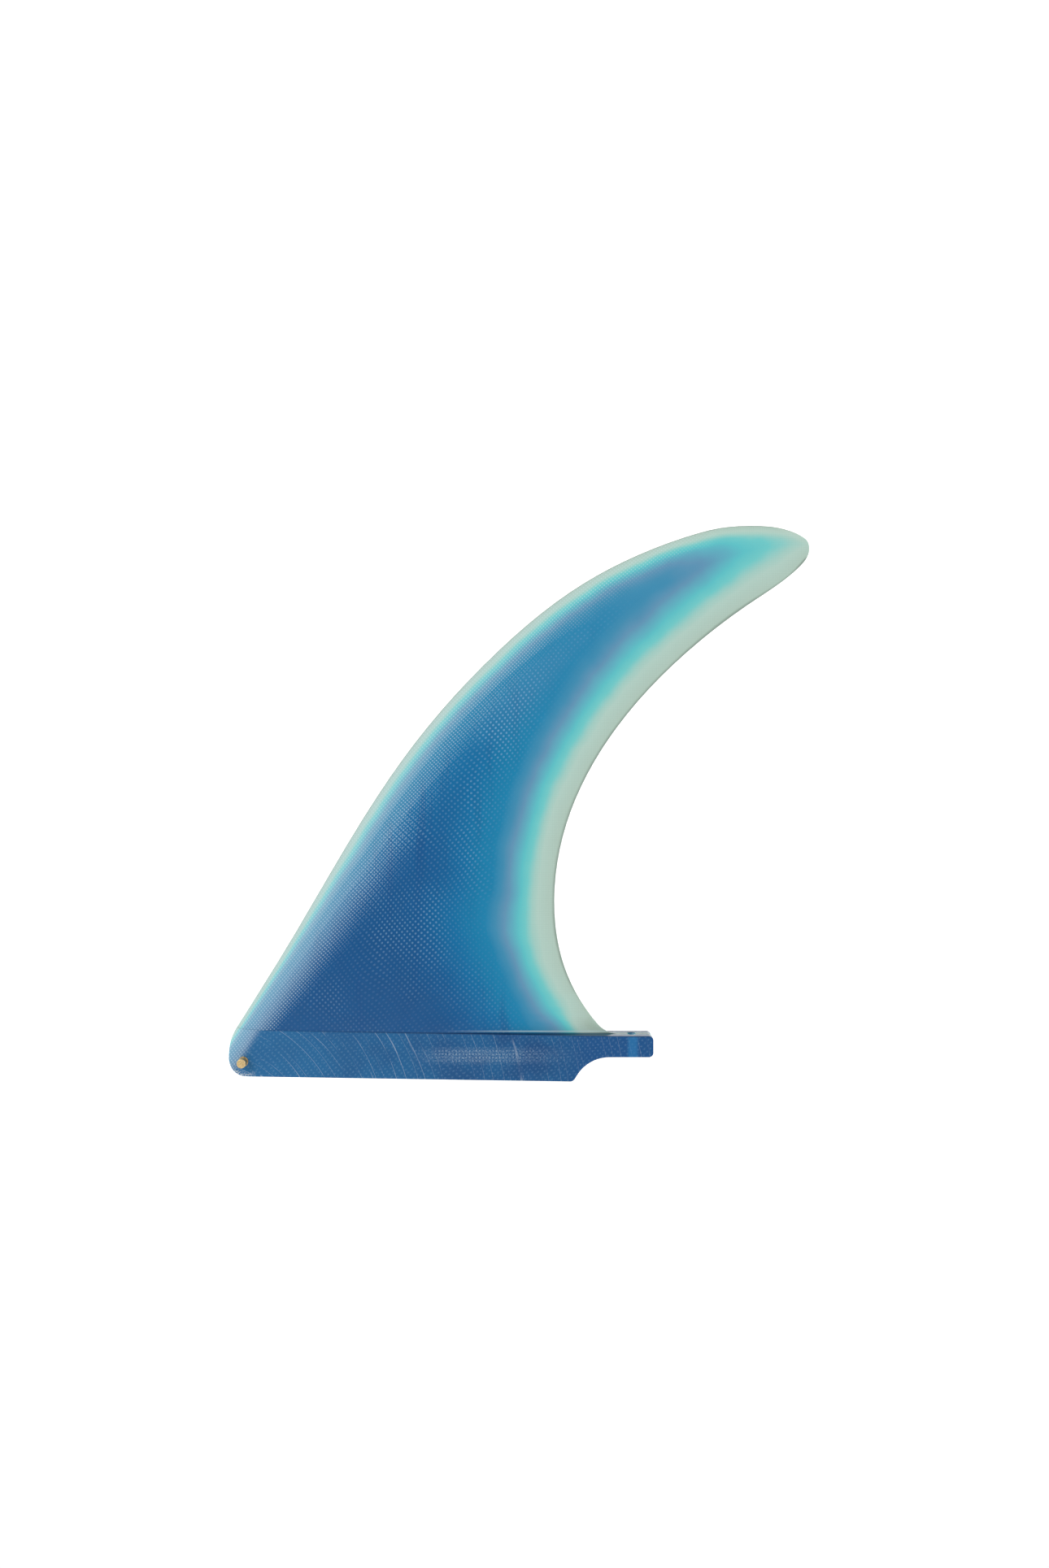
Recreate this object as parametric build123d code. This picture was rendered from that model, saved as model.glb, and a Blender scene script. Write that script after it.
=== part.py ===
from build123d import *
import math
import os

# Longboard centre fin for a slotted fin box, all sizes in millimetres.
# +X runs from the leading edge to the screw tab, +Z from the base to the tip, and Y is the
# thickness, so the fin is symmetric about the XZ plane. The origin is the middle of the roll pin.
# Left is +Y and right is -Y, as seen along +X with the tip up.

# Laminate: the panel is laid up from glass cloth plies in tinted packs, palest in the middle.
ply_thickness = 0.25
core_plies = 9
pack_plies = {"aqua_pack": 2, "lavender_pack": 3, "cerulean_pack": 3, "royal_pack": 6}

# Base that slides into the box: the tongue fills the slot and the tab takes the screw.
pin_to_toe = 7.1
pin_to_bottom = 6.5
base_slope = 0.9
toe_radius = 8.5
toe_upper_radius = 18.0
pin_to_heel = 147.0
heel_angle = 58.0
heel_radius = 2.5
throat_radius = 17.0
pin_to_tab_end = 182.8
pin_to_tab_underside = 2.05
tab_height = 9.4
tab_corner_radius = 2.0

# Screw hole through the tab, for a No. 8 or M4 screw.
screw_hole_diameter = 4.2
screw_to_tab_end = 9.2

# Roll pin: brass, with plain free ends and a middle that is thicker by the press, which is
# driven through a hole of its own size in the toe.
pin_diameter = 4.0
pin_press = 0.4
pin_protrusion = 3.3
pin_edge_break = 0.3

# Blade outline: the leading edge from the base to the crown, the round of the tip, and the
# trailing edge down to its flare into the tab. Each point is (x, z), each slope a direction,
# and the pull is how strongly the trailing edge holds the direction at its two ends.
rake_slope = (0.53, 0.848)
leading_points = [(17.2, 48.4), (45.2, 96.0), (74.2, 139.9), (113.6, 183.8), (158.5, 218.0),
                  (203.0, 236.6)]
crown = (227.0, 240.05)
tip_points = [(241.2, 238.8), (250.4, 235.1)]
nose = (253.4, 229.4)
trailing_points = [(247.9, 220.4), (227.9, 205.8), (199.2, 183.8), (165.4, 147.2),
                   (145.8, 110.6), (138.75, 70.4), (143.5, 41.0), (152.8, 22.8)]
flare_point = (158.5, 15.5)
flare_end = 166.5
flare_lean = (0.66, -0.75)
edge_pull = (1, 1)
foil_root_end = 161.0

# Foil: half thickness at both edges, the step by which the tongue stands proud of the blade,
# and how far in from each edge the taper runs.
edge_half_thickness = 0.5
ledge_step = 0.14
entry_length_root = 22.0
entry_length_most = 36.0
taper_length_most = 75.0
entry_share = 0.37
entry_grown_at = 0.25
entry_fullness = 2.5
taper_fullness = 1.25

# Crest of the foil above the ledge: the share of the panel's thickness that is left at places
# along the blade, which run from 0 at the ledge to 1 at the nose.
crest_shares = {0.10: 0.96, 0.20: 0.92, 0.31: 0.80, 0.43: 0.69, 0.56: 0.59, 0.68: 0.51,
                0.79: 0.45, 0.88: 0.36, 0.97: 0.24}
nose_share = 0.16
nose_reach = 6.0

# How finely the foil is set out, along the blade and across it, closest at the leading edge,
# and how far it runs past the blade's edges. Cutting tools run clear of the part by the last.
foil_rows = 40
entry_steps = 11
entry_crowding = 1.6
taper_steps = 11
overrun_least = 2.0
overrun_share = 0.1
below_ledge = 8.0
clear = 30.0

pressed_diameter = pin_diameter + pin_press
panel_half = (core_plies / 2 + sum(pack_plies.values())) * ply_thickness
tab_top = pin_to_tab_underside + tab_height
slope_rise = math.tan(math.radians(base_slope))


def on_ledge(x):
    """A point on the top of the tongue, which drops to the tab's top at the flare's end."""
    return (x, tab_top + (flare_end - x) * slope_rise)


def on_bottom(x):
    """A point on the bottom edge of the tongue, which drops at the same slope."""
    return (x, -pin_to_bottom - x * slope_rise)


def on_rake(z):
    """A point on the straight line that the lower leading edge follows."""
    first_x, first_z = leading_points[0]
    return (first_x + (z - first_z) * rake_slope[0] / rake_slope[1], z)


def on_rake_at_toe():
    """Where that line meets the foremost part of the toe."""
    first_x, first_z = leading_points[0]
    return (-pin_to_toe, first_z - (first_x + pin_to_toe) * rake_slope[1] / rake_slope[0])


def toe_top():
    """Where the leading edge meets the top of the tongue."""
    start_x, start_z = on_rake(on_ledge(0)[1])
    rise = slope_rise * start_x * rake_slope[1] / (rake_slope[1] + slope_rise * rake_slope[0])
    return on_rake(start_z - rise)


def leading_edge():
    """Leading edge from the tongue to the crown, then round to the nose."""
    rise = Spline(toe_top(), *leading_points, crown, tangents=[rake_slope, (1, 0)])
    tip = Spline(crown, *tip_points, nose, tangents=[(1, 0), (0, -1)])
    return Wire([rise, tip])


def trailing_edge():
    """Trailing edge from the nose down to the flare, and round the flare into the tab."""
    fall = Spline(nose, *trailing_points, flare_point, tangents=[(0, -1), flare_lean],
                  tangent_scalars=edge_pull)
    return Wire([fall, TangentArc(flare_point, (flare_end, tab_top), tangent=flare_lean)])


def foil_trailing_edge():
    """The line that the foil tapers to, from the tongue straight past the flare to the nose."""
    return Spline(on_ledge(foil_root_end), *reversed(trailing_points), nose)


def thickened(sketch, thickness):
    """A sketch drawn in X and Z, made solid from the middle plane outwards."""
    return extrude(Plane.XZ * sketch, amount=-thickness)


def panel_outline():
    """Side view of the whole fin: the blade, then the tab and the tongue with rounded corners."""
    heel_run = math.tan(math.radians(heel_angle))
    heel_drop = pin_to_tab_underside - on_bottom(pin_to_heel)[1]
    corners = [
        ((flare_end, tab_top), 0),
        ((pin_to_tab_end, tab_top), tab_corner_radius),
        ((pin_to_tab_end, pin_to_tab_underside), tab_corner_radius),
        ((pin_to_heel + heel_drop / heel_run, pin_to_tab_underside), throat_radius),
        (on_bottom(pin_to_heel), heel_radius),
        (on_bottom(-pin_to_toe), toe_radius),
        (on_rake_at_toe(), toe_upper_radius),
        (toe_top(), 0),
    ]
    points = [point for point, radius in corners]
    tongue = FilletPolyline(*points, radius=[radius for point, radius in corners[1:-1]])
    return make_face([leading_edge(), trailing_edge(), tongue])


def above_ledge():
    """The space above the top of the tongue and the tab."""
    far = max(crown[1], nose[0]) + clear
    corners = [on_ledge(-clear), on_ledge(flare_end), (far, tab_top), (far, far), (-clear, far)]
    return thickened(make_face(Polyline(*corners, close=True)), 2 * panel_half)


def foil_height(inset, chord, entry, taper, crest):
    """Half thickness of the foil at an inset from the leading edge, along one chord."""
    rise = crest - edge_half_thickness
    if inset < 0:
        return edge_half_thickness + rise * entry_fullness * inset / entry
    if inset > chord:
        return edge_half_thickness
    entry_loss = max(0, 1 - inset / entry) ** entry_fullness
    taper_loss = max(0, 1 - (chord - inset) / taper) ** taper_fullness
    return crest - rise * (entry_loss + taper_loss)


def insets_along(chord, entry):
    """Places where the foil is set out along a chord, from before its front to past its back."""
    overrun = overrun_least + overrun_share * chord
    insets = [-overrun, -overrun / 2]
    insets += [entry * (step / entry_steps) ** entry_crowding for step in range(entry_steps)]
    insets += [entry + (chord - entry) * step / taper_steps for step in range(taper_steps + 1)]
    return insets + [chord + overrun / 2, chord + overrun]


def foil_row(front, back, entry, taper, crest):
    """Points on the foil between the leading and trailing edges."""
    chord = (back - front).length
    along = Vector(back.X - front.X, 0, back.Y - front.Y) / chord
    start = Vector(front.X, 0, front.Y)
    return [start + along * inset + Vector(0, foil_height(inset, chord, entry, taper, crest), 0)
            for inset in insets_along(chord, entry)]


def blade_row(place, share, leading, trailing):
    """Row of the foil at a place along the blade, from 0 at the tongue to 1 at the nose."""
    front = leading @ place
    back = trailing @ place
    chord = (back - front).length
    growth = (entry_length_most - entry_length_root) * place / entry_grown_at
    entry = min(entry_length_root + growth, entry_length_most, entry_share * chord)
    taper = min(taper_length_most, chord - entry)
    return foil_row(front, back, entry, taper, share * panel_half)


def nose_row():
    """Row of the foil just past the nose, so that the foil covers the whole outline."""
    front = Vector(nose[0] + nose_reach, nose[1] + nose_reach)
    back = Vector(nose[0] + nose_reach, nose[1] - nose_reach)
    return foil_row(front, back, nose_reach, nose_reach, nose_share * panel_half)


def blade_waste():
    """What is ground off one side of the blade to foil it, reaching past its outline all round."""
    leading = leading_edge()
    trailing = foil_trailing_edge()
    crest = Spline((0, 1 - ledge_step / panel_half), *crest_shares.items())
    rows = []
    for step in range(foil_rows + 1):
        station = crest @ (step / foil_rows)
        rows.append(blade_row(station.X, station.Y, leading, trailing))
    down = Vector(-rake_slope[0], 0, -rake_slope[1]) * below_ledge
    rows = [[point + down for point in rows[0]]] + rows + [nose_row()]
    surface = Face.make_surface_from_array_of_points(rows, min_deg=3)
    return above_ledge() & Solid.extrude(surface, Vector(0, clear, 0))


def toe_waste():
    """What is ground off the front of the tongue, where the same entry runs out at the toe."""
    front = Vector(*toe_top())
    along = Vector(1, 0, -slope_rise).normalized()
    entry = entry_length_root
    reach = entry + clear
    crest = panel_half - ledge_step
    points = [(inset, foil_height(inset, reach, entry, clear, crest) + ledge_step)
              for inset in insets_along(reach, entry) if inset < entry]
    steepest = (entry, (crest - edge_half_thickness) * entry_fullness)
    rise = Spline(*points, (entry, panel_half), tangents=[steepest, (1, 0)])
    start, end = rise @ 0, rise @ 1
    section = make_face([rise, Polyline(end, (end.X, clear), (start.X, clear), start)])
    station = Plane(origin=(front.X, 0, front.Y), x_dir=along, z_dir=along.cross(Vector(0, 1, 0)))
    rake = (rake_slope[0], 0, rake_slope[1])
    return extrude(station * section, amount=clear, dir=rake, both=True) - above_ledge()


def screw_hole():
    """Drill for the fin screw, straight down through the tab."""
    drill = Cylinder(screw_hole_diameter / 2, tab_height + clear)
    return Pos(pin_to_tab_end - screw_to_tab_end, 0, tab_top - tab_height / 2) * drill


def across(diameter, length):
    """A cylinder along Y, centred on the roll pin's middle."""
    return Rot(90, 0, 0) * Cylinder(diameter / 2, length)


def roll_pin():
    """Brass pin: a thicker pressed middle as long as the panel is thick, and two plain ends."""
    shank = across(pin_diameter, 2 * (panel_half + pin_protrusion))
    shank = chamfer(shank.edges().filter_by(GeomType.CIRCLE), pin_edge_break)
    return shank + across(pressed_diameter, 2 * panel_half)


def parted(solid, level):
    """A solid told apart at a distance off the middle plane: its inner and outer parts."""
    face = Plane.XZ.offset(-level)
    inner = split(solid, bisect_by=face, keep=Keep.TOP)
    return inner, split(solid, bisect_by=face, keep=Keep.BOTTOM)


def save(node, solid):
    """Write one node, which has to be whole solids."""
    export_step(solid, f"parts/{node}.step")
    print(node, len(solid.solids()), "solid", round(solid.volume, 1), "mm3", solid.is_valid)


os.makedirs("parts", exist_ok=True)
rest = thickened(panel_outline(), panel_half) - blade_waste() - toe_waste()
rest = rest - screw_hole() - across(pressed_diameter, clear)
level = core_plies / 2 * ply_thickness
core_half, rest = parted(rest, level)
save("core_panel", core_half + mirror(core_half, about=Plane.XZ))
for name, plies in pack_plies.items():
    level += plies * ply_thickness
    left, rest = parted(rest, level)
    save(name + "_left", left)
    save(name + "_right", mirror(left, about=Plane.XZ))
save("roll_pin", roll_pin())
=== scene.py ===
import math

import bpy
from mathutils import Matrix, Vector


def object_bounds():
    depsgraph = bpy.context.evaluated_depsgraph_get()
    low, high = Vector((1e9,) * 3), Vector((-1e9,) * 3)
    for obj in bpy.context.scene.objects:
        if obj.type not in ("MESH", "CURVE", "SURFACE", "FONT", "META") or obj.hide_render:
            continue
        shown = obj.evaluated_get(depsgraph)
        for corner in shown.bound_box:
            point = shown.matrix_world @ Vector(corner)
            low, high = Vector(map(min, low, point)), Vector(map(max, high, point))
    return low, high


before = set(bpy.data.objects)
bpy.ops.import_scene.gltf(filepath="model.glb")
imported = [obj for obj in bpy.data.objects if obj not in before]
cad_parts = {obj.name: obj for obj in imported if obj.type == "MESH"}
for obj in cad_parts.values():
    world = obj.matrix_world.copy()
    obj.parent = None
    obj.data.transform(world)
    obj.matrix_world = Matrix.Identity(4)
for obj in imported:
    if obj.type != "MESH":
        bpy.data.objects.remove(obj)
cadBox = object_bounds()
print("frame loaded:", len(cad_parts), "pieces")

mm = 0.001  # one millimetre in metres
wholeTurn = 2 * math.pi

# settings that many of the nodes below share
smooth = {"interpolation_type": "SMOOTHSTEP"}
blend = {"output": 2, "data_type": "RGBA"}


def linearColour(hexColour):
    channels = []
    for place in (1, 3, 5):
        level = int(hexColour[place:place + 2], 16) / 255
        channels.append(level / 12.92 if level <= 0.04045 else ((level + 0.055) / 1.055) ** 2.4)
    return (*channels, 1.0)


# adds a node; an input is a plain value, a hex colour or another node's output
def addNode(tree, kind, inputs, output=0, **settings):
    node = tree.nodes.new("ShaderNode" + kind)
    for name, value in settings.items():
        setattr(node, name, value)
    for name, value in inputs.items():
        if isinstance(value, bpy.types.NodeSocket):
            tree.links.new(value, node.inputs[name])
        else:
            node.inputs[name].default_value = linearColour(value) if isinstance(value, str) else value
    return node.outputs[output]


def newMaterial(name):
    material = bpy.data.materials.new(name)
    material.use_nodes = True
    tree = material.node_tree
    return material, tree, tree.nodes["Principled BSDF"]


# Panel: glass cloth and polyester resin, tinted pack by pack, so the colour of the finished
# surface depends on how far it was ground down towards the pale plies in the middle.
# Places, depths and pitches here and in the base are in mm, and noise scales are per mm.
panel = {
    "depthColours": [  # depth off the middle plane, and the colour laid bare there
        (0.40, "#A9BFAF"), (0.62, "#B4CBBF"), (1.00, "#B6D3C8"), (1.16, "#A5D1C8"),
        (1.36, "#70CCCB"), (1.55, "#5DC2C8"), (1.74, "#5FAABF"), (1.92, "#6094B5"),
        (2.14, "#3F8CB1"), (2.42, "#1480AC"), (2.72, "#0B7AA8"), (3.20, "#056CA0"),
        (3.85, "#085991"), (4.60, "#0E4D84")],
    "depthMost": 5.0,
    "plyWander": 0.10,  # how far the plies wander up and down
    "blueDepth": (2.1, 3.2),  # where the blue packs begin, and where they are full
    "streakColour": "#0E4A84",
    "streakShare": 0.35,
    "tipSheenShare": 0.24,  # at the top of the blade, where the cloth shows most: a painted sheen of its glints
    "glintPitch": 2.1,  # between glints, where threads of two plies cross
    "glintSway": 15.0,  # how many radians the rows of glints sway by
    "glintDepth": (2.1, 3.3),
    "glintColour": "#8FBBD8",
    # a pale painted reflection on the slope of the leading edge, where it faces the light
    "edgeReflectionColour": "#BCD8E4",
    "edgeReflectionShare": 0.30,
    "frontPitch": 1.3,  # between the finer crossings over the leading edge, drawn as painted glints
    "frontColour": "#D3E6EE",
    "frontShare": 0.5,
    "threadPitch": 0.65,  # between the threads of the cloth; both rows of crossings are drawn
    "threadColour": "#84A698",  # coarser than this, so that they show
    "threadShare": 0.22,
    "paleDepth": (1.7, 1.1),
    "rimColour": "#8C9F94",
    # grey of the sawn end grain, which also stands for painted shade on faces turned up and down
    "endGrainShadeColour": "#7C8A92",
    "polishRoughness": 0.10,
    "resinIor": 1.54,
    "resinShine": 0.3,
    "bumpStrength": 0.35,
    "bumpDepth": 0.05,
}

# Base: where the ledge runs, and how the sanded tongue below it is worn
base = {
    "tabTop": 11.45,
    "flareEnd": 166.5,
    "ledgeSlope": 0.0157,
    "screwPlace": 173.6,
    "deepColour": "#04487E",
    "lightColour": "#08578B",
    "frontColour": "#1F6C9F",
    "frontShare": 0.6,
    "tabColour": "#004C86",
    "scuffColour": "#9DB4C8",
    "speckShare": 0.13,
    # faint painted glints of the cloth on the sanded base
    "glintDotShare": 0.12,
    "gridPatch": (72.0, 155.0, -2.0, 7.5),  # fore, aft, low and high end of the bare cloth
    "gridPitch": 1.5,  # between its threads, also drawn coarser than the cloth above
    "gridShare": 0.72,
    "scratchCentre": (-12.0, -34.0),
    "scratchPitch": 4.2,  # between the scratches of a turning disc
    "scratchWander": 16.0,  # how many radians they stray by
    "scratchColour": "#B7C5D3",
    "glowColour": "#1F76B0",
    "glowShare": 0.6,
    "toeCentre": (1.4, 2.0),
    "toeRadius": 8.5,
    "chipColour": "#B9C4CB",
    # a dark line of painted shade in the step at the ledge, and a pale painted highlight above it
    "ledgeShadeColour": "#0B3C68",
    "ledgeShadeShare": 0.75,
    "ledgeShineColour": "#C9DFE2",
    "ledgeShineShare": 0.55,
    "sandedRoughness": 0.46,
}


def surfacePlaces(tree):
    # where a point of the panel is, how deep it lies in the lay-up, and how it faces
    place = addNode(tree, "TexCoord", {}, output="Object")
    inMm = addNode(tree, "VectorMath", {0: place, "Scale": 1 / mm}, operation="SCALE")
    axes = addNode(tree, "SeparateXYZ", {0: inMm}).node
    x, y, z = axes.outputs[0], axes.outputs[1], axes.outputs[2]
    flat = addNode(tree, "CombineXYZ", {"X": x, "Y": z})
    offPlane = addNode(tree, "Math", {0: y}, operation="ABSOLUTE")

    # the plies wander a little, so the bands do not run dead even
    wander = addNode(tree, "TexNoise", {"Vector": flat, "Scale": 0.06, "Detail": 2.0})
    wander = addNode(tree, "Math", {0: wander, 1: 2 * panel["plyWander"], 2: -panel["plyWander"]},
                     operation="MULTIPLY_ADD")
    depth = addNode(tree, "Math", {0: offPlane, 1: wander}, operation="ADD")

    normal = addNode(tree, "NewGeometry", {}, output="Normal")
    facing = addNode(tree, "SeparateXYZ", {0: normal}).node
    forward = addNode(tree, "Math", {0: facing.outputs[0], 1: -1.0}, operation="MULTIPLY")
    sideways = addNode(tree, "Math", {0: facing.outputs[1]}, operation="ABSOLUTE")
    upright = addNode(tree, "Math", {0: facing.outputs[2]}, operation="ABSOLUTE")

    ledge = addNode(tree, "Math", {0: x, 1: -base["ledgeSlope"],
                                   2: base["tabTop"] + base["flareEnd"] * base["ledgeSlope"]},
                    operation="MULTIPLY_ADD")
    overLedge = addNode(tree, "Math", {0: z, 1: ledge}, operation="SUBTRACT")
    return {"inMm": inMm, "flat": flat, "x": x, "z": z, "offPlane": offPlane, "depth": depth,
            "forward": forward, "sideways": sideways, "upright": upright,
            "overLedge": overLedge}


def layUpColour(tree, at):
    # the tinted packs by depth
    share = addNode(tree, "Math", {0: at["depth"], 1: panel["depthMost"]}, operation="DIVIDE")
    colour = addNode(tree, "ValToRGB", {"Fac": share})
    stops = colour.node.color_ramp.elements
    stops.remove(stops[1])
    for number, (level, tint) in enumerate(panel["depthColours"]):
        stop = stops.new(level / panel["depthMost"]) if number else stops[0]
        stop.position = level / panel["depthMost"]
        stop.color = linearColour(tint)

    # faint streaks of resin down the middle of the blade, and near the tip a haze of cloth glints,
    # painted as a pale sheen
    begin, full = panel["blueDepth"]
    inBlue = addNode(tree, "MapRange", {0: at["depth"], 1: begin, 2: full}, **smooth)
    drawnOut = addNode(tree, "Mapping", {"Vector": at["flat"], "Scale": (0.16, 0.014, 1.0)})
    streak = addNode(tree, "TexNoise", {"Vector": drawnOut, "Scale": 1.0, "Detail": 3.0})
    streak = addNode(tree, "MapRange", {0: streak, 1: 0.52, 2: 0.72, 4: panel["streakShare"]},
                     **smooth)
    paintedTipSheen = addNode(tree, "MapRange", {0: at["z"], 1: 130.0, 2: 200.0, 4: panel["tipSheenShare"]},
                   **smooth)
    for share, tint in ((streak, panel["streakColour"]), (paintedTipSheen, panel["glintColour"])):
        share = addNode(tree, "Math", {0: share, 1: inBlue}, operation="MULTIPLY")
        colour = addNode(tree, "Mix", {0: share, 6: colour, 7: tint}, **blend)
    return colour


def crossingRows(tree, at, pitch):
    # spots in diagonal rows that sway, where threads of two plies cross; the falling rows lie
    # a little closer together than the rising ones
    sway = addNode(tree, "TexNoise", {"Vector": at["flat"], "Scale": 0.022, "Detail": 1.0})
    sway = addNode(tree, "Math", {0: sway, 1: panel["glintSway"]}, operation="MULTIPLY")
    waves = []
    for slant, closeness in (("ADD", 1.0), ("SUBTRACT", 1.22)):
        across = addNode(tree, "Math", {0: at["x"], 1: at["z"]}, operation=slant)
        turnPerMm = math.pi / pitch / math.sqrt(2) * closeness
        wave = addNode(tree, "Math", {0: across, 1: turnPerMm, 2: sway}, operation="MULTIPLY_ADD")
        waves.append(addNode(tree, "Math", {0: wave}, operation="SINE"))
    spots = addNode(tree, "Math", {0: waves[0], 1: waves[1]}, operation="MULTIPLY")
    spots = addNode(tree, "Math", {0: spots}, operation="ABSOLUTE")
    return addNode(tree, "MapRange", {0: spots, 1: 0.55, 2: 1.0}, **smooth)


def addGlints(tree, at, colour, coarse):
    # glints of cloth in the blue, in patches, and stronger towards the tip
    begin, full = panel["glintDepth"]
    glints = addNode(tree, "TexNoise", {"Vector": at["flat"], "Scale": 0.028, "Detail": 3.0})
    glints = addNode(tree, "MapRange", {0: glints, 1: 0.40, 2: 0.64, 3: 0.10, 4: 0.36}, **smooth)
    inBlue = addNode(tree, "MapRange", {0: at["depth"], 1: begin, 2: full}, **smooth)
    higher = addNode(tree, "MapRange", {0: at["z"], 1: 20.0, 2: 120.0, 3: 0.5, 4: 1.8})
    for part in (coarse, inBlue, higher):
        glints = addNode(tree, "Math", {0: glints, 1: part}, operation="MULTIPLY")

    # finer and closer over the slope of the leading edge, where it faces the light on the left, under
    # a pale veil of painted reflection
    paintedEdgeReflection = addNode(tree, "MapRange", {0: at["forward"], 1: 0.02, 2: 0.22, 4: panel["edgeReflectionShare"]},
                   **smooth)
    front = addNode(tree, "MapRange", {0: at["forward"], 1: 0.0, 2: 0.09, 4: panel["frontShare"]},
                    **smooth)
    fine = crossingRows(tree, at, panel["frontPitch"])
    front = addNode(tree, "Math", {0: fine, 1: front}, operation="MULTIPLY")
    for share, tint in ((glints, panel["glintColour"]), (paintedEdgeReflection, panel["edgeReflectionColour"]),
                        (front, panel["frontColour"])):
        colour = addNode(tree, "Mix", {0: share, 6: colour, 7: tint}, **blend)
    return colour


def addThreads(tree, at, colour):
    # a square grid of threads shows in the pale plies, where light comes through
    waves = []
    for axis in (at["x"], at["z"]):
        wave = addNode(tree, "Math", {0: axis, 1: wholeTurn / panel["threadPitch"]},
                       operation="MULTIPLY")
        waves.append(addNode(tree, "Math", {0: wave}, operation="SINE"))
    threads = addNode(tree, "Math", {0: waves[0], 1: waves[1]}, operation="MAXIMUM")
    threads = addNode(tree, "MapRange", {0: threads, 1: 0.5, 2: 1.0, 4: panel["threadShare"]},
                      **smooth)
    begin, full = panel["paleDepth"]
    inPale = addNode(tree, "MapRange", {0: at["depth"], 1: begin, 2: full}, **smooth)
    threads = addNode(tree, "Math", {0: threads, 1: inPale}, operation="MULTIPLY")
    return addNode(tree, "Mix", {0: threads, 6: colour, 7: panel["threadColour"]}, **blend)


def addRim(tree, at, colour):
    # the last sliver of the blade's side before its thin edge is darker, but not at the flare
    rim = addNode(tree, "MapRange", {0: at["offPlane"], 1: 0.60, 2: 0.50}, **smooth)
    onSide = addNode(tree, "MapRange", {0: at["sideways"], 1: 0.2, 2: 0.6}, **smooth)
    aboveFlare = addNode(tree, "MapRange", {0: at["z"], 1: 22.0, 2: 36.0}, **smooth)
    for part in (onSide, aboveFlare):
        rim = addNode(tree, "Math", {0: rim, 1: part}, operation="MULTIPLY")
    return addNode(tree, "Mix", {0: rim, 6: colour, 7: panel["rimColour"]}, **blend)


def bareCloth(tree, at, speck):
    # a patch where the sander reached the cloth, so its threads show as a pale grid
    crossings = []
    for axis in (at["x"], at["z"]):
        wave = addNode(tree, "Math", {0: axis, 1: wholeTurn / base["gridPitch"]},
                       operation="MULTIPLY")
        wave = addNode(tree, "Math", {0: wave}, operation="SINE")
        crossings.append(addNode(tree, "MapRange", {0: wave, 1: -0.3, 2: 0.9}, **smooth))
    bare = addNode(tree, "Math", {0: crossings[0], 1: crossings[1]}, operation="MULTIPLY")
    bare = addNode(tree, "Math", {0: bare, 1: 0.72, 2: 0.28}, operation="MULTIPLY_ADD")
    fore, aft, low, high = base["gridPatch"]
    for axis, start, end in ((at["x"], fore, fore + 25), (at["x"], aft, aft - 50),
                             (at["z"], low, low + 3.5), (at["z"], high, high - 3.5)):
        fade = addNode(tree, "MapRange", {0: axis, 1: start, 2: end}, **smooth)
        bare = addNode(tree, "Math", {0: bare, 1: fade}, operation="MULTIPLY")
    rubbed = addNode(tree, "MapRange", {0: speck, 1: 0.36, 2: 0.58, 4: base["gridShare"]},
                     **smooth)
    return addNode(tree, "Math", {0: bare, 1: rubbed}, operation="MULTIPLY")


def discScratches(tree, at):
    # scratches from a turning disc, in arcs about a point below the toe, fainter further back
    fromCentre = addNode(tree, "VectorMath", {0: at["flat"], 1: (*base["scratchCentre"], 0.0)},
                         operation="SUBTRACT")
    reach = addNode(tree, "VectorMath", {0: fromCentre}, output="Value", operation="LENGTH")
    around = addNode(tree, "SeparateXYZ", {0: fromCentre}).node
    bearing = addNode(tree, "Math", {0: around.outputs[1], 1: around.outputs[0]},
                      operation="ARCTAN2")
    count = addNode(tree, "Math", {0: reach, 1: base["scratchPitch"]}, operation="DIVIDE")
    arcs = addNode(tree, "CombineXYZ", {"X": count, "Y": bearing})
    stray = addNode(tree, "TexNoise", {"Vector": arcs, "Scale": 0.7, "Detail": 2.0})
    stray = addNode(tree, "Math", {0: stray, 1: base["scratchWander"]}, operation="MULTIPLY")
    lines = addNode(tree, "Math", {0: reach, 1: wholeTurn / base["scratchPitch"], 2: stray},
                    operation="MULTIPLY_ADD")
    lines = addNode(tree, "Math", {0: lines}, operation="SINE")
    lines = addNode(tree, "MapRange", {0: lines, 1: 0.988, 2: 1.0}, **smooth)
    broken = addNode(tree, "TexNoise", {"Vector": at["flat"], "Scale": 0.05, "Detail": 3.0})
    broken = addNode(tree, "MapRange", {0: broken, 1: 0.38, 2: 0.56}, **smooth)
    nearToe = addNode(tree, "MapRange", {0: reach, 1: 165.0, 2: 60.0, 3: 0.30, 4: 0.46}, **smooth)
    for part in (broken, nearToe):
        lines = addNode(tree, "Math", {0: lines, 1: part}, operation="MULTIPLY")
    return lines


def holeGlow(tree, at):
    # light comes down the screw hole and through the plies beside it
    offHole = addNode(tree, "Math", {0: at["x"], 1: base["screwPlace"]}, operation="SUBTRACT")
    offHole = addNode(tree, "Math", {0: offHole}, operation="ABSOLUTE")
    return addNode(tree, "MapRange", {0: offHole, 1: 3.0, 2: 1.2, 4: base["glowShare"]}, **smooth)


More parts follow.
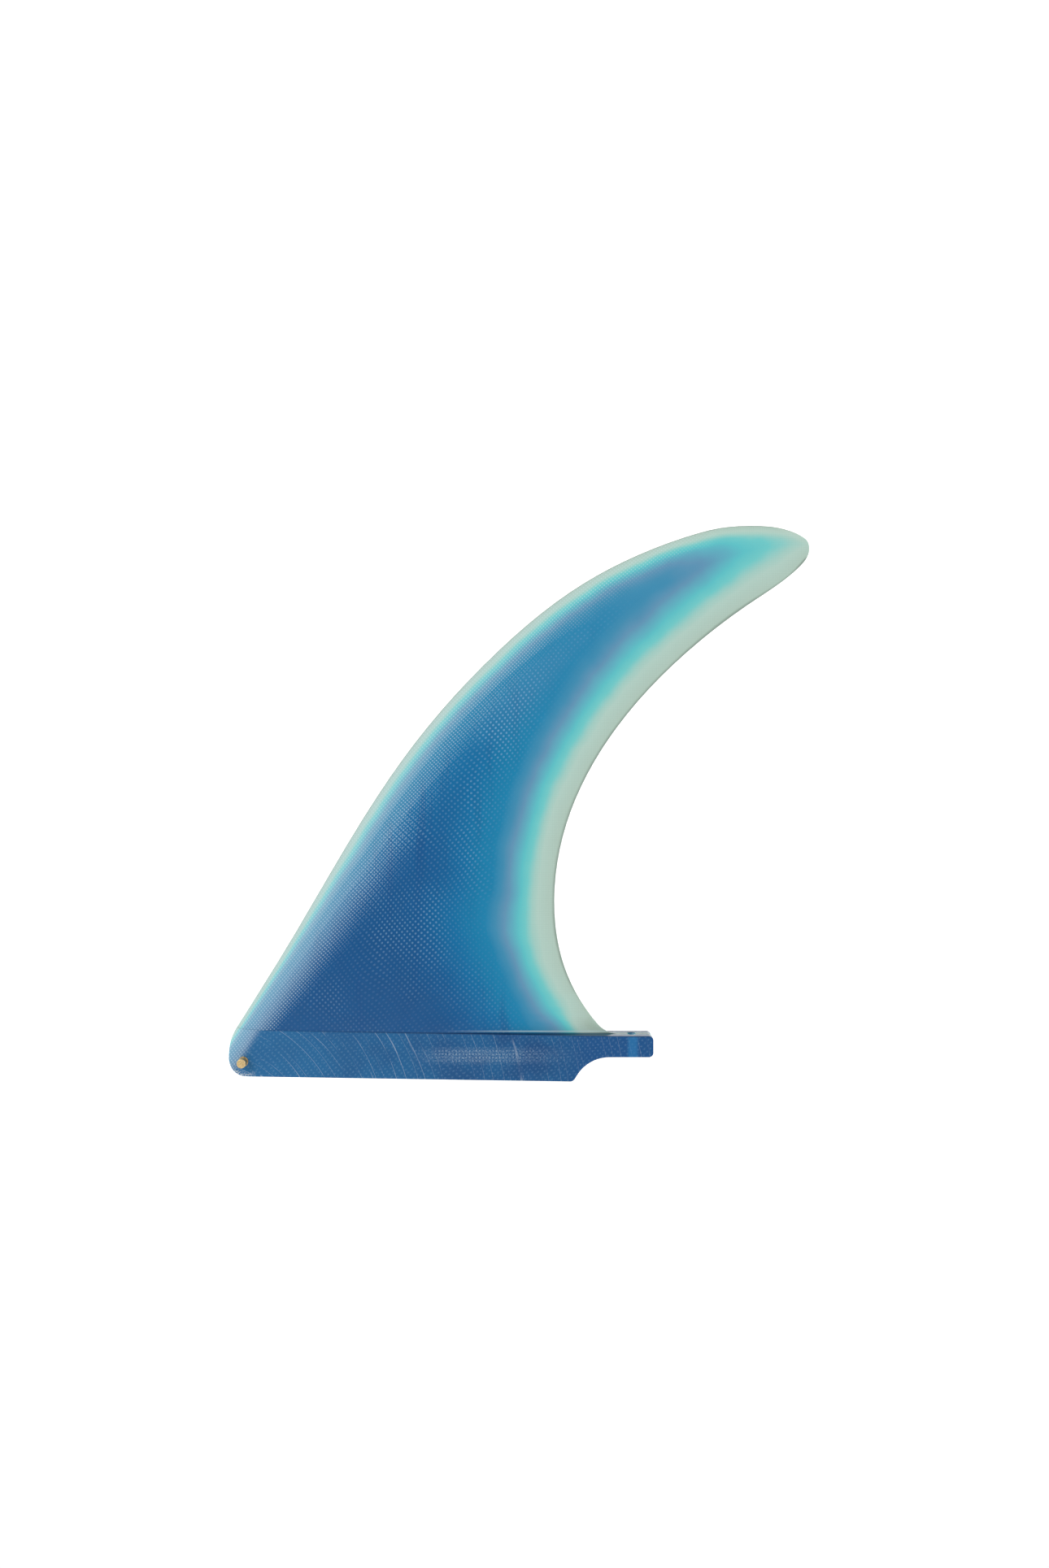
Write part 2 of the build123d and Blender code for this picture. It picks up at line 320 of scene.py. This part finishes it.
def toeChips(tree, at, speck):
    # the low corner of the toe is chipped pale
    fromToe = addNode(tree, "VectorMath", {0: at["flat"], 1: (*base["toeCentre"], 0.0)},
                      output="Value", operation="DISTANCE")
    chipped = addNode(tree, "MapRange", {0: fromToe, 1: base["toeRadius"] - 2.4,
                                         2: base["toeRadius"] - 0.3}, **smooth)
    lowDown = addNode(tree, "MapRange", {0: at["z"], 1: 0.0, 2: -4.5}, **smooth)
    foremost = addNode(tree, "MapRange", {0: at["x"], 1: 7.0, 2: 0.0}, **smooth)
    flaked = addNode(tree, "MapRange", {0: speck, 1: 0.40, 2: 0.60}, **smooth)
    for part in (lowDown, foremost, flaked):
        chipped = addNode(tree, "Math", {0: chipped, 1: part}, operation="MULTIPLY")
    return chipped


def sandedColour(tree, at, coarse):
    # the base, sanded matt: cloudy, paler to the front, with specks, faint painted glints, scratches
    # and bare cloth
    cloud = addNode(tree, "TexNoise", {"Vector": at["flat"], "Scale": 0.05, "Detail": 2.0})
    cloud = addNode(tree, "MapRange", {0: cloud, 1: 0.35, 2: 0.65}, **smooth)
    toFront = addNode(tree, "MapRange", {0: at["x"], 1: 110.0, 2: 10.0, 4: base["frontShare"]})
    onTab = addNode(tree, "MapRange", {0: at["x"], 1: 135.0, 2: 160.0}, **smooth)
    speck = addNode(tree, "TexNoise", {"Vector": at["flat"], "Scale": 1.5, "Detail": 3.0})
    specks = addNode(tree, "MapRange", {0: speck, 1: 0.56, 2: 0.72, 4: base["speckShare"]},
                     **smooth)
    # faint painted glints, in the same rows as on the blade
    paintedGlintDots = addNode(tree, "Math", {0: coarse, 1: base["glintDotShare"]}, operation="MULTIPLY")
    worn = addNode(tree, "Mix", {0: cloud, 6: base["deepColour"], 7: base["lightColour"]}, **blend)
    for share, tint in ((toFront, base["frontColour"]), (onTab, base["tabColour"]),
                        (specks, base["scuffColour"]), (paintedGlintDots, panel["glintColour"]),
                        (bareCloth(tree, at, speck), base["scuffColour"]),
                        (discScratches(tree, at), base["scratchColour"]),
                        (holeGlow(tree, at), base["glowColour"]),
                        (toeChips(tree, at, speck), base["chipColour"])):
        worn = addNode(tree, "Mix", {0: share, 6: worn, 7: tint}, **blend)
    return worn


def addLedge(tree, at, colour):
    # painted shade darkens the step at the ledge, and towards the trailing edge a painted highlight
    # shows resin shining above it
    onSide = addNode(tree, "MapRange", {0: at["sideways"], 1: 0.5, 2: 0.8})
    paintedLedgeShade = addNode(tree, "Math", {0: at["overLedge"]}, operation="ABSOLUTE")
    paintedLedgeShade = addNode(tree, "MapRange", {0: paintedLedgeShade, 1: 0.60, 2: 0.15}, **smooth)
    ledgeShadeAlong = addNode(tree, "MapRange", {0: at["x"], 1: 30.0, 2: 90.0, 3: 0.05,
                                           4: base["ledgeShadeShare"]})
    paintedLedgeShine = addNode(tree, "Math", {0: at["overLedge"], 1: 1.0}, operation="SUBTRACT")
    paintedLedgeShine = addNode(tree, "Math", {0: paintedLedgeShine}, operation="ABSOLUTE")
    paintedLedgeShine = addNode(tree, "MapRange", {0: paintedLedgeShine, 1: 0.55, 2: 0.1, 4: base["ledgeShineShare"]}, **smooth)
    ledgeShineAlong = addNode(tree, "MapRange", {0: at["x"], 1: 85.0, 2: 135.0}, **smooth)
    for line, along, tint in ((paintedLedgeShade, ledgeShadeAlong, base["ledgeShadeColour"]),
                              (paintedLedgeShine, ledgeShineAlong, base["ledgeShineColour"])):
        for part in (along, onSide):
            line = addNode(tree, "Math", {0: line, 1: part}, operation="MULTIPLY")
        colour = addNode(tree, "Mix", {0: line, 6: colour, 7: tint}, **blend)
    return colour


def makeLaminate():
    # fibreglass, laid up wet, ground to a foil, gloss coated and buffed above the ledge and
    # left sanded below it: deep wet colour with cloth glinting in it, over a scuffed matt base
    material, tree, shader = newMaterial("fibreglass laid up, foiled and gloss coated")
    at = surfacePlaces(tree)
    coarse = crossingRows(tree, at, panel["glintPitch"])
    colour = addGlints(tree, at, layUpColour(tree, at), coarse)
    colour = addRim(tree, at, addThreads(tree, at, colour))

    # only the outermost plies below the ledge have the sanded colours
    sanded = addNode(tree, "MapRange", {0: at["overLedge"], 1: 0.05, 2: -0.25}, **smooth)
    outermost = addNode(tree, "MapRange", {0: at["depth"], 1: 3.6, 2: 4.3}, **smooth)
    matt = addNode(tree, "Math", {0: sanded, 1: outermost}, operation="MULTIPLY")
    worn = sandedColour(tree, at, coarse)
    colour = addNode(tree, "Mix", {0: matt, 6: colour, 7: worn}, **blend)
    colour = addLedge(tree, at, colour)

    # end grain of the cloth on the tab's top and the bottom, sawn and grey, and darkened as painted
    # shade where these faces turn from the light
    endGrainAndShade = addNode(tree, "MapRange", {0: at["upright"], 1: 0.8, 2: 0.95})
    colour = addNode(tree, "Mix", {0: endGrainAndShade, 6: colour, 7: panel["endGrainShadeColour"]},
                     **blend, blend_type="MULTIPLY")
    tree.links.new(colour, shader.inputs["Base Color"])

    rough = addNode(tree, "MapRange", {0: sanded, 3: panel["polishRoughness"],
                                       4: base["sandedRoughness"]})
    tree.links.new(rough, shader.inputs["Roughness"])
    shader.inputs["IOR"].default_value = panel["resinIor"]
    shader.inputs["Specular IOR Level"].default_value = panel["resinShine"]

    # sanding tooth on the base, and only a slight ripple left in the gloss coat
    tooth = addNode(tree, "TexNoise", {"Vector": at["inMm"], "Scale": 2.5, "Detail": 4.0})
    tooth = addNode(tree, "Math", {0: tooth, 1: sanded}, operation="MULTIPLY")
    ripple = addNode(tree, "TexNoise", {"Vector": at["inMm"], "Scale": 0.12, "Detail": 1.0})
    height = addNode(tree, "Math", {0: ripple, 1: 0.6, 2: tooth}, operation="MULTIPLY_ADD")
    bump = addNode(tree, "Bump", {"Strength": panel["bumpStrength"],
                                  "Distance": panel["bumpDepth"] * mm, "Height": height})
    tree.links.new(bump, shader.inputs["Normal"])
    return material


# Roll pin: brass rod, pitch and depth in mm
pin = {
    "brass": "#E6CC98",
    "dull": "#CDB280",
    "roughness": (0.4, 0.6),
    "turningPitch": 0.12,  # between the rings left by facing the ends
    "bumpStrength": 0.4,
    "bumpDepth": 0.01,
}


def makeBrass():
    # brass rod, cut off and faced: a warm dull shine with fine rings on its ends
    material, tree, shader = newMaterial("brass rod, faced ends")
    place = addNode(tree, "TexCoord", {}, output="Object")
    inMm = addNode(tree, "VectorMath", {0: place, "Scale": 1 / mm}, operation="SCALE")
    flat = addNode(tree, "VectorMath", {0: inMm, 1: (1.0, 0.0, 1.0)}, operation="MULTIPLY")
    reach = addNode(tree, "VectorMath", {0: flat}, output="Value", operation="LENGTH")
    rings = addNode(tree, "Math", {0: reach, 1: wholeTurn / pin["turningPitch"]},
                    operation="MULTIPLY")
    rings = addNode(tree, "Math", {0: rings}, operation="SINE")
    grain = addNode(tree, "TexNoise", {"Vector": inMm, "Scale": 1.4, "Detail": 4.0})
    tarnish = addNode(tree, "MapRange", {0: grain, 1: 0.35, 2: 0.7}, **smooth)
    colour = addNode(tree, "Mix", {0: tarnish, 6: pin["brass"], 7: pin["dull"]}, **blend)
    tree.links.new(colour, shader.inputs["Base Color"])
    shader.inputs["Metallic"].default_value = 1.0
    least, most = pin["roughness"]
    rough = addNode(tree, "MapRange", {0: grain, 3: least, 4: most})
    tree.links.new(rough, shader.inputs["Roughness"])
    height = addNode(tree, "Math", {0: rings, 1: 0.5, 2: grain}, operation="MULTIPLY_ADD")
    bump = addNode(tree, "Bump", {"Strength": pin["bumpStrength"],
                                  "Distance": pin["bumpDepth"] * mm, "Height": height})
    tree.links.new(bump, shader.inputs["Normal"])
    return material


laminate = makeLaminate()
brass = makeBrass()
for nodeName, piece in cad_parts.items():
    piece.data.materials.clear()
    piece.data.materials.append(brass if nodeName == "roll_pin" else laminate)
print("materials on")

# Studio, in metres: a pale sweep of paper with lights of its own behind the fin, and soft light
# on the fin from the left and right above it
studio = {
    "paper": "#F7F7F6",
    "paperRoughness": 0.9,
    "sweepFront": -2.5,
    "sweepBehind": 0.9,
    "sweepBelow": 0.26,
    "sweepHeight": 3.0,
    "sweepRadius": 0.5,
    "sweepSteps": 16,
    "sweepHalfWidth": 2.5,
    "worldStrength": 0.45,
    "lights": [  # name, place from the middle of the fin, where it looks, power, size
        ("soft key", (-0.85, -0.55, 0.55), (0.0, 0.0, 0.0), 7.4, 0.8),
        ("soft fill", (0.90, -0.60, 0.60), (0.0, 0.0, 0.12), 5.2, 1.0),
        ("paper light left", (-1.1, 0.15, 0.7), (-1.1, 1.15, 0.5), 14.0, 0.9),
        ("paper light right", (1.1, 0.15, 0.7), (1.1, 1.15, 0.5), 14.0, 0.9),
    ],
}
lo, hi = cadBox
middle = (lo + hi) / 2


def makeSweep():
    # matt paper, curved up behind the fin: an even white with no corner and no shine
    floorZ = lo.z - studio["sweepBelow"]
    backY = middle.y + studio["sweepBehind"]
    radius = studio["sweepRadius"]
    profile = [(studio["sweepFront"], floorZ)]
    for step in range(studio["sweepSteps"] + 1):
        angle = math.pi / 2 * step / studio["sweepSteps"]
        profile.append((backY - radius + radius * math.sin(angle),
                        floorZ + radius - radius * math.cos(angle)))
    profile.append((backY, floorZ + studio["sweepHeight"]))
    half = studio["sweepHalfWidth"]
    points = [(side * half, y, z) for y, z in profile for side in (-1, 1)]
    faces = [(2 * k, 2 * k + 1, 2 * k + 3, 2 * k + 2) for k in range(len(profile) - 1)]
    mesh = bpy.data.meshes.new("paper sweep")
    mesh.from_pydata(points, [], faces)
    mesh.polygons.foreach_set("use_smooth", [True] * len(faces))
    sweep = bpy.data.objects.new("paper sweep", mesh)
    bpy.context.scene.collection.objects.link(sweep)
    material, _, shader = newMaterial("matt background paper")
    shader.inputs["Base Color"].default_value = linearColour(studio["paper"])
    shader.inputs["Roughness"].default_value = studio["paperRoughness"]
    mesh.materials.append(material)


makeSweep()
for name, place, target, power, size in studio["lights"]:
    light = bpy.data.lights.new(name, "AREA")
    light.energy = power
    light.size = size
    lamp = bpy.data.objects.new(name, light)
    lamp.location = middle + Vector(place)
    lamp.rotation_euler = (Vector(target) - Vector(place)).to_track_quat("-Z", "Y").to_euler()
    bpy.context.scene.collection.objects.link(lamp)
world = bpy.data.worlds.new("white studio")
world.use_nodes = True
background = world.node_tree.nodes["Background"]
background.inputs["Color"].default_value = (1, 1, 1, 1)
background.inputs["Strength"].default_value = studio["worldStrength"]
bpy.context.scene.world = world
bpy.context.scene.view_settings.view_transform = "Standard"
print("studio set")

# Camera: square on to the side, a little above the middle; lens and sensor in mm, the rest in
# metres
camera = {
    "lens": 21.4,
    "sensorWidth": 36.0,
    "distance": 0.42,
    "offMiddle": (0.0022, 0.0082),
}
cameraData = bpy.data.cameras.new("side view")
cameraData.lens = camera["lens"]
cameraData.sensor_width = camera["sensorWidth"]
cameraObject = bpy.data.objects.new("side view", cameraData)
cameraObject.location = (middle.x + camera["offMiddle"][0], -camera["distance"],
                         middle.z + camera["offMiddle"][1])
cameraObject.rotation_euler = (math.pi / 2, 0, 0)
bpy.context.scene.collection.objects.link(cameraObject)
bpy.context.scene.camera = cameraObject
print("camera set")
